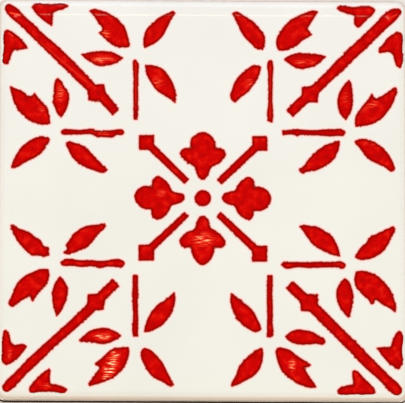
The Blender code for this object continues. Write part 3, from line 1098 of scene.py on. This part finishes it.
def biscuit_clay():
    """Return the bare clay with painted shade on its foot."""
    material, tree, shader = new_material("biscuit_clay")
    place = add_node(tree, "ShaderNodeTexCoord", out="Object")
    grain = add_node(tree, "ShaderNodeTexNoise", {"Scale": GRAIN_CELLS, "Detail": 4},
                     {"Vector": place})
    tint = add_node(tree, "ShaderNodeValToRGB", links={"Fac": grain},
                    stops=[(0.3, "D8BC9E"), (0.7, "EAD6C0")])
    height = add_node(tree, "ShaderNodeSeparateXYZ", links={"Vector": place}, out="Z")
    # Painted shade: the low, outer foot is darkened to brown, as the shadowed gap under the tile
    # would be.
    low = add_node(tree, "ShaderNodeMapRange", FOOT_SHADE_UP, {"Value": height})
    far = add_node(tree, "ShaderNodeMapRange", FOOT_SHADE_OUT, {"Value": reach(tree, place)})
    foot_shade = add_node(tree, "ShaderNodeMath", links={0: low, 1: far}, operation="MULTIPLY")
    shown = add_node(tree, "ShaderNodeMix", {MIX_SECOND: colour("38200F")},
                     {"Factor": foot_shade, MIX_FIRST: tint}, data_type="RGBA", out=MIX_RESULT)
    bump = add_node(tree, "ShaderNodeBump", {"Strength": 0.5, "Distance": GRAIN_HEIGHT},
                    {"Height": grain})
    fill(tree, shader, {"Roughness": 0.9}, {"Base Color": shown, "Normal": bump})
    return material


# %% [markdown]
# ### Put the materials on
# Each piece gets its material and rides on the tile's one body. The glaze coat stands for the
# imported solid, which is hidden, because both fill the same space.

# %% Put the materials on
ENAMEL = [enamel_dot, enamel_spokes, enamel_fleurs, enamel_bars, enamel_stalks,
          enamel_small_leaves, enamel_notched_leaves, enamel_upright_leaves, enamel_level_leaves,
          enamel_arrowheads]
FINISHES = [([glaze_coat], tin_glaze(), "cream_glaze"), (ENAMEL, red_enamel(), "red_enamel"),
            ([clay_body], biscuit_clay(), "biscuit")]
for pieces, material, slot in FINISHES:
    for piece in pieces:
        piece.data.materials.clear()
        piece.data.materials.append(material)
        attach(piece, "root")
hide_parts("tile")
print(len(ENAMEL) + 2, "pieces ride on the tile")

# %% [markdown]
# ## Floor
# The floor is a plain pale sheet. A painted contact shadow darkens it in a thin line at the tile's
# foot, where the soft light alone would leave it too pale, and this painted shadow follows the
# distance from the outline.
# Under the tile the sheet has a hole as large as the tile's flat back. Without it the two would
# lie in one plane, and the back would show streaks from below.

# %% Floor
FLOOR_SIZE = 8
# Painted contact shadow: darkest just inside the outline, fading to the pale floor a little outside
# it.
CONTACT_SHADOW_DARK = -0.12 * MM
CONTACT_SHADOW_SOFT = 0.16 * MM
FLOOR_HOLE = CLAY_SKIN + BACK_ARRIS + 0.05 * MM
bpy.ops.object.select_all(action="DESELECT")
bpy.ops.mesh.primitive_plane_add(size=FLOOR_SIZE, location=(0, 0, 0))
floor = bpy.context.object
floor.name = floor.data.name = "floor"
bpy.ops.object.mode_set(mode="EDIT")
bpy.ops.mesh.select_all(action="SELECT")
bpy.ops.mesh.inset(thickness=FLOOR_SIZE / 2 - HALF + FLOOR_HOLE)
bpy.ops.mesh.delete(type="FACE")
bpy.ops.object.mode_set(mode="OBJECT")
print("floor", len(floor.data.polygons), "faces round the hole")


def pale_floor():
    """Return the floor's pale paint with a painted contact shadow at the tile's foot."""
    material, tree, shader = new_material("pale_floor")
    place = add_node(tree, "ShaderNodeTexCoord", out="Object")
    share = add_node(tree, "ShaderNodeMapRange", {"From Min": CORNER_RADIUS + CONTACT_SHADOW_DARK,
                     "From Max": CORNER_RADIUS + CONTACT_SHADOW_SOFT}, {"Value": reach(tree, place)})
    # Painted contact shadow: dark brown at the tile's foot, the plain pale floor beyond.
    tint = add_node(tree, "ShaderNodeValToRGB", links={"Fac": share},
                    stops=[(0, "1C0C04"), (0.5, "78583E"), (1, "F0EAE2")])
    fill(tree, shader, {"Roughness": 0.8, "Specular IOR Level": 0.1}, {"Base Color": tint})
    return material


floor.data.materials.append(pale_floor())

# %% [markdown]
# ## Light
# Flat glossy work is lit as on a copy stand: a bright ring of sky on every side and a dark
# ceiling, so that the face mirrors nothing bright. Two narrow strips behind the tile draw thin
# highlights, one along the upper crease and one along the shoulder. A low lamp in front lights the
# side, from so far off that the end of its light on the floor stays out of sight. A near one
# behind cools the upper half a little. Each lamp is given by its direction in degrees, its
# distance and size in metres, how bright its face is, and its tint.

# %% Lamps
def softbox(name, azimuth, zenith, distance, width, height, glow, tint):
    """Add a soft rectangular lamp that looks at the tile; glow is the brightness of its face."""
    lamp = bpy.data.lights.new(name, "AREA")
    lamp.shape = "RECTANGLE"
    lamp.size = width
    lamp.size_y = height
    lamp.energy = glow * math.pi * width * height
    lamp.color = colour(tint)[:3]
    holder = bpy.data.objects.new(name, lamp)
    bpy.context.scene.collection.objects.link(holder)
    turn, tilt = math.radians(azimuth), math.radians(zenith)
    towards = Vector((math.sin(turn) * math.sin(tilt), math.cos(turn) * math.sin(tilt),
                      math.cos(tilt)))
    across = Vector((math.cos(turn), -math.sin(turn), 0))
    holder.matrix_world = (Matrix.Translation(towards * distance)
                           @ Matrix((across, towards.cross(across), towards)).transposed().to_4x4())


softbox("lamp_strip", 0, 19.7, 1.0, 0.28, 0.045, 4.2, "FFE0C0")
softbox("lamp_edge", 0, 34.9, 1.0, 0.5, 0.06, 2.6, "E8ECFF")
softbox("lamp_front", 180, 81, 2.5, 2.5, 0.75, 1.0, "FFF4E8")
softbox("lamp_cool", 0, 58, 0.3, 0.4, 0.1, 1.3, "8098FF")

SKY_GLOW = 1.85
world = bpy.data.worlds.new("studio")
bpy.context.scene.world = world
world.use_nodes = True
sky = world.node_tree
way = add_node(sky, "ShaderNodeTexCoord", out="Generated")
height = add_node(sky, "ShaderNodeSeparateXYZ", links={"Vector": way}, out="Z")
tint = add_node(sky, "ShaderNodeValToRGB", links={"Fac": height},
                stops=[(0, "BCA894"), (0.3, "D6CABC"), (0.6, "EAECE8"), (0.8, "F5F8F4"),
                       (0.87, "363A3A"), (1, "282A2A")])
fill(sky, sky.nodes["Background"], {"Strength": SKY_GLOW}, {"Color": tint})
bpy.context.scene.view_settings.view_transform = "Standard"
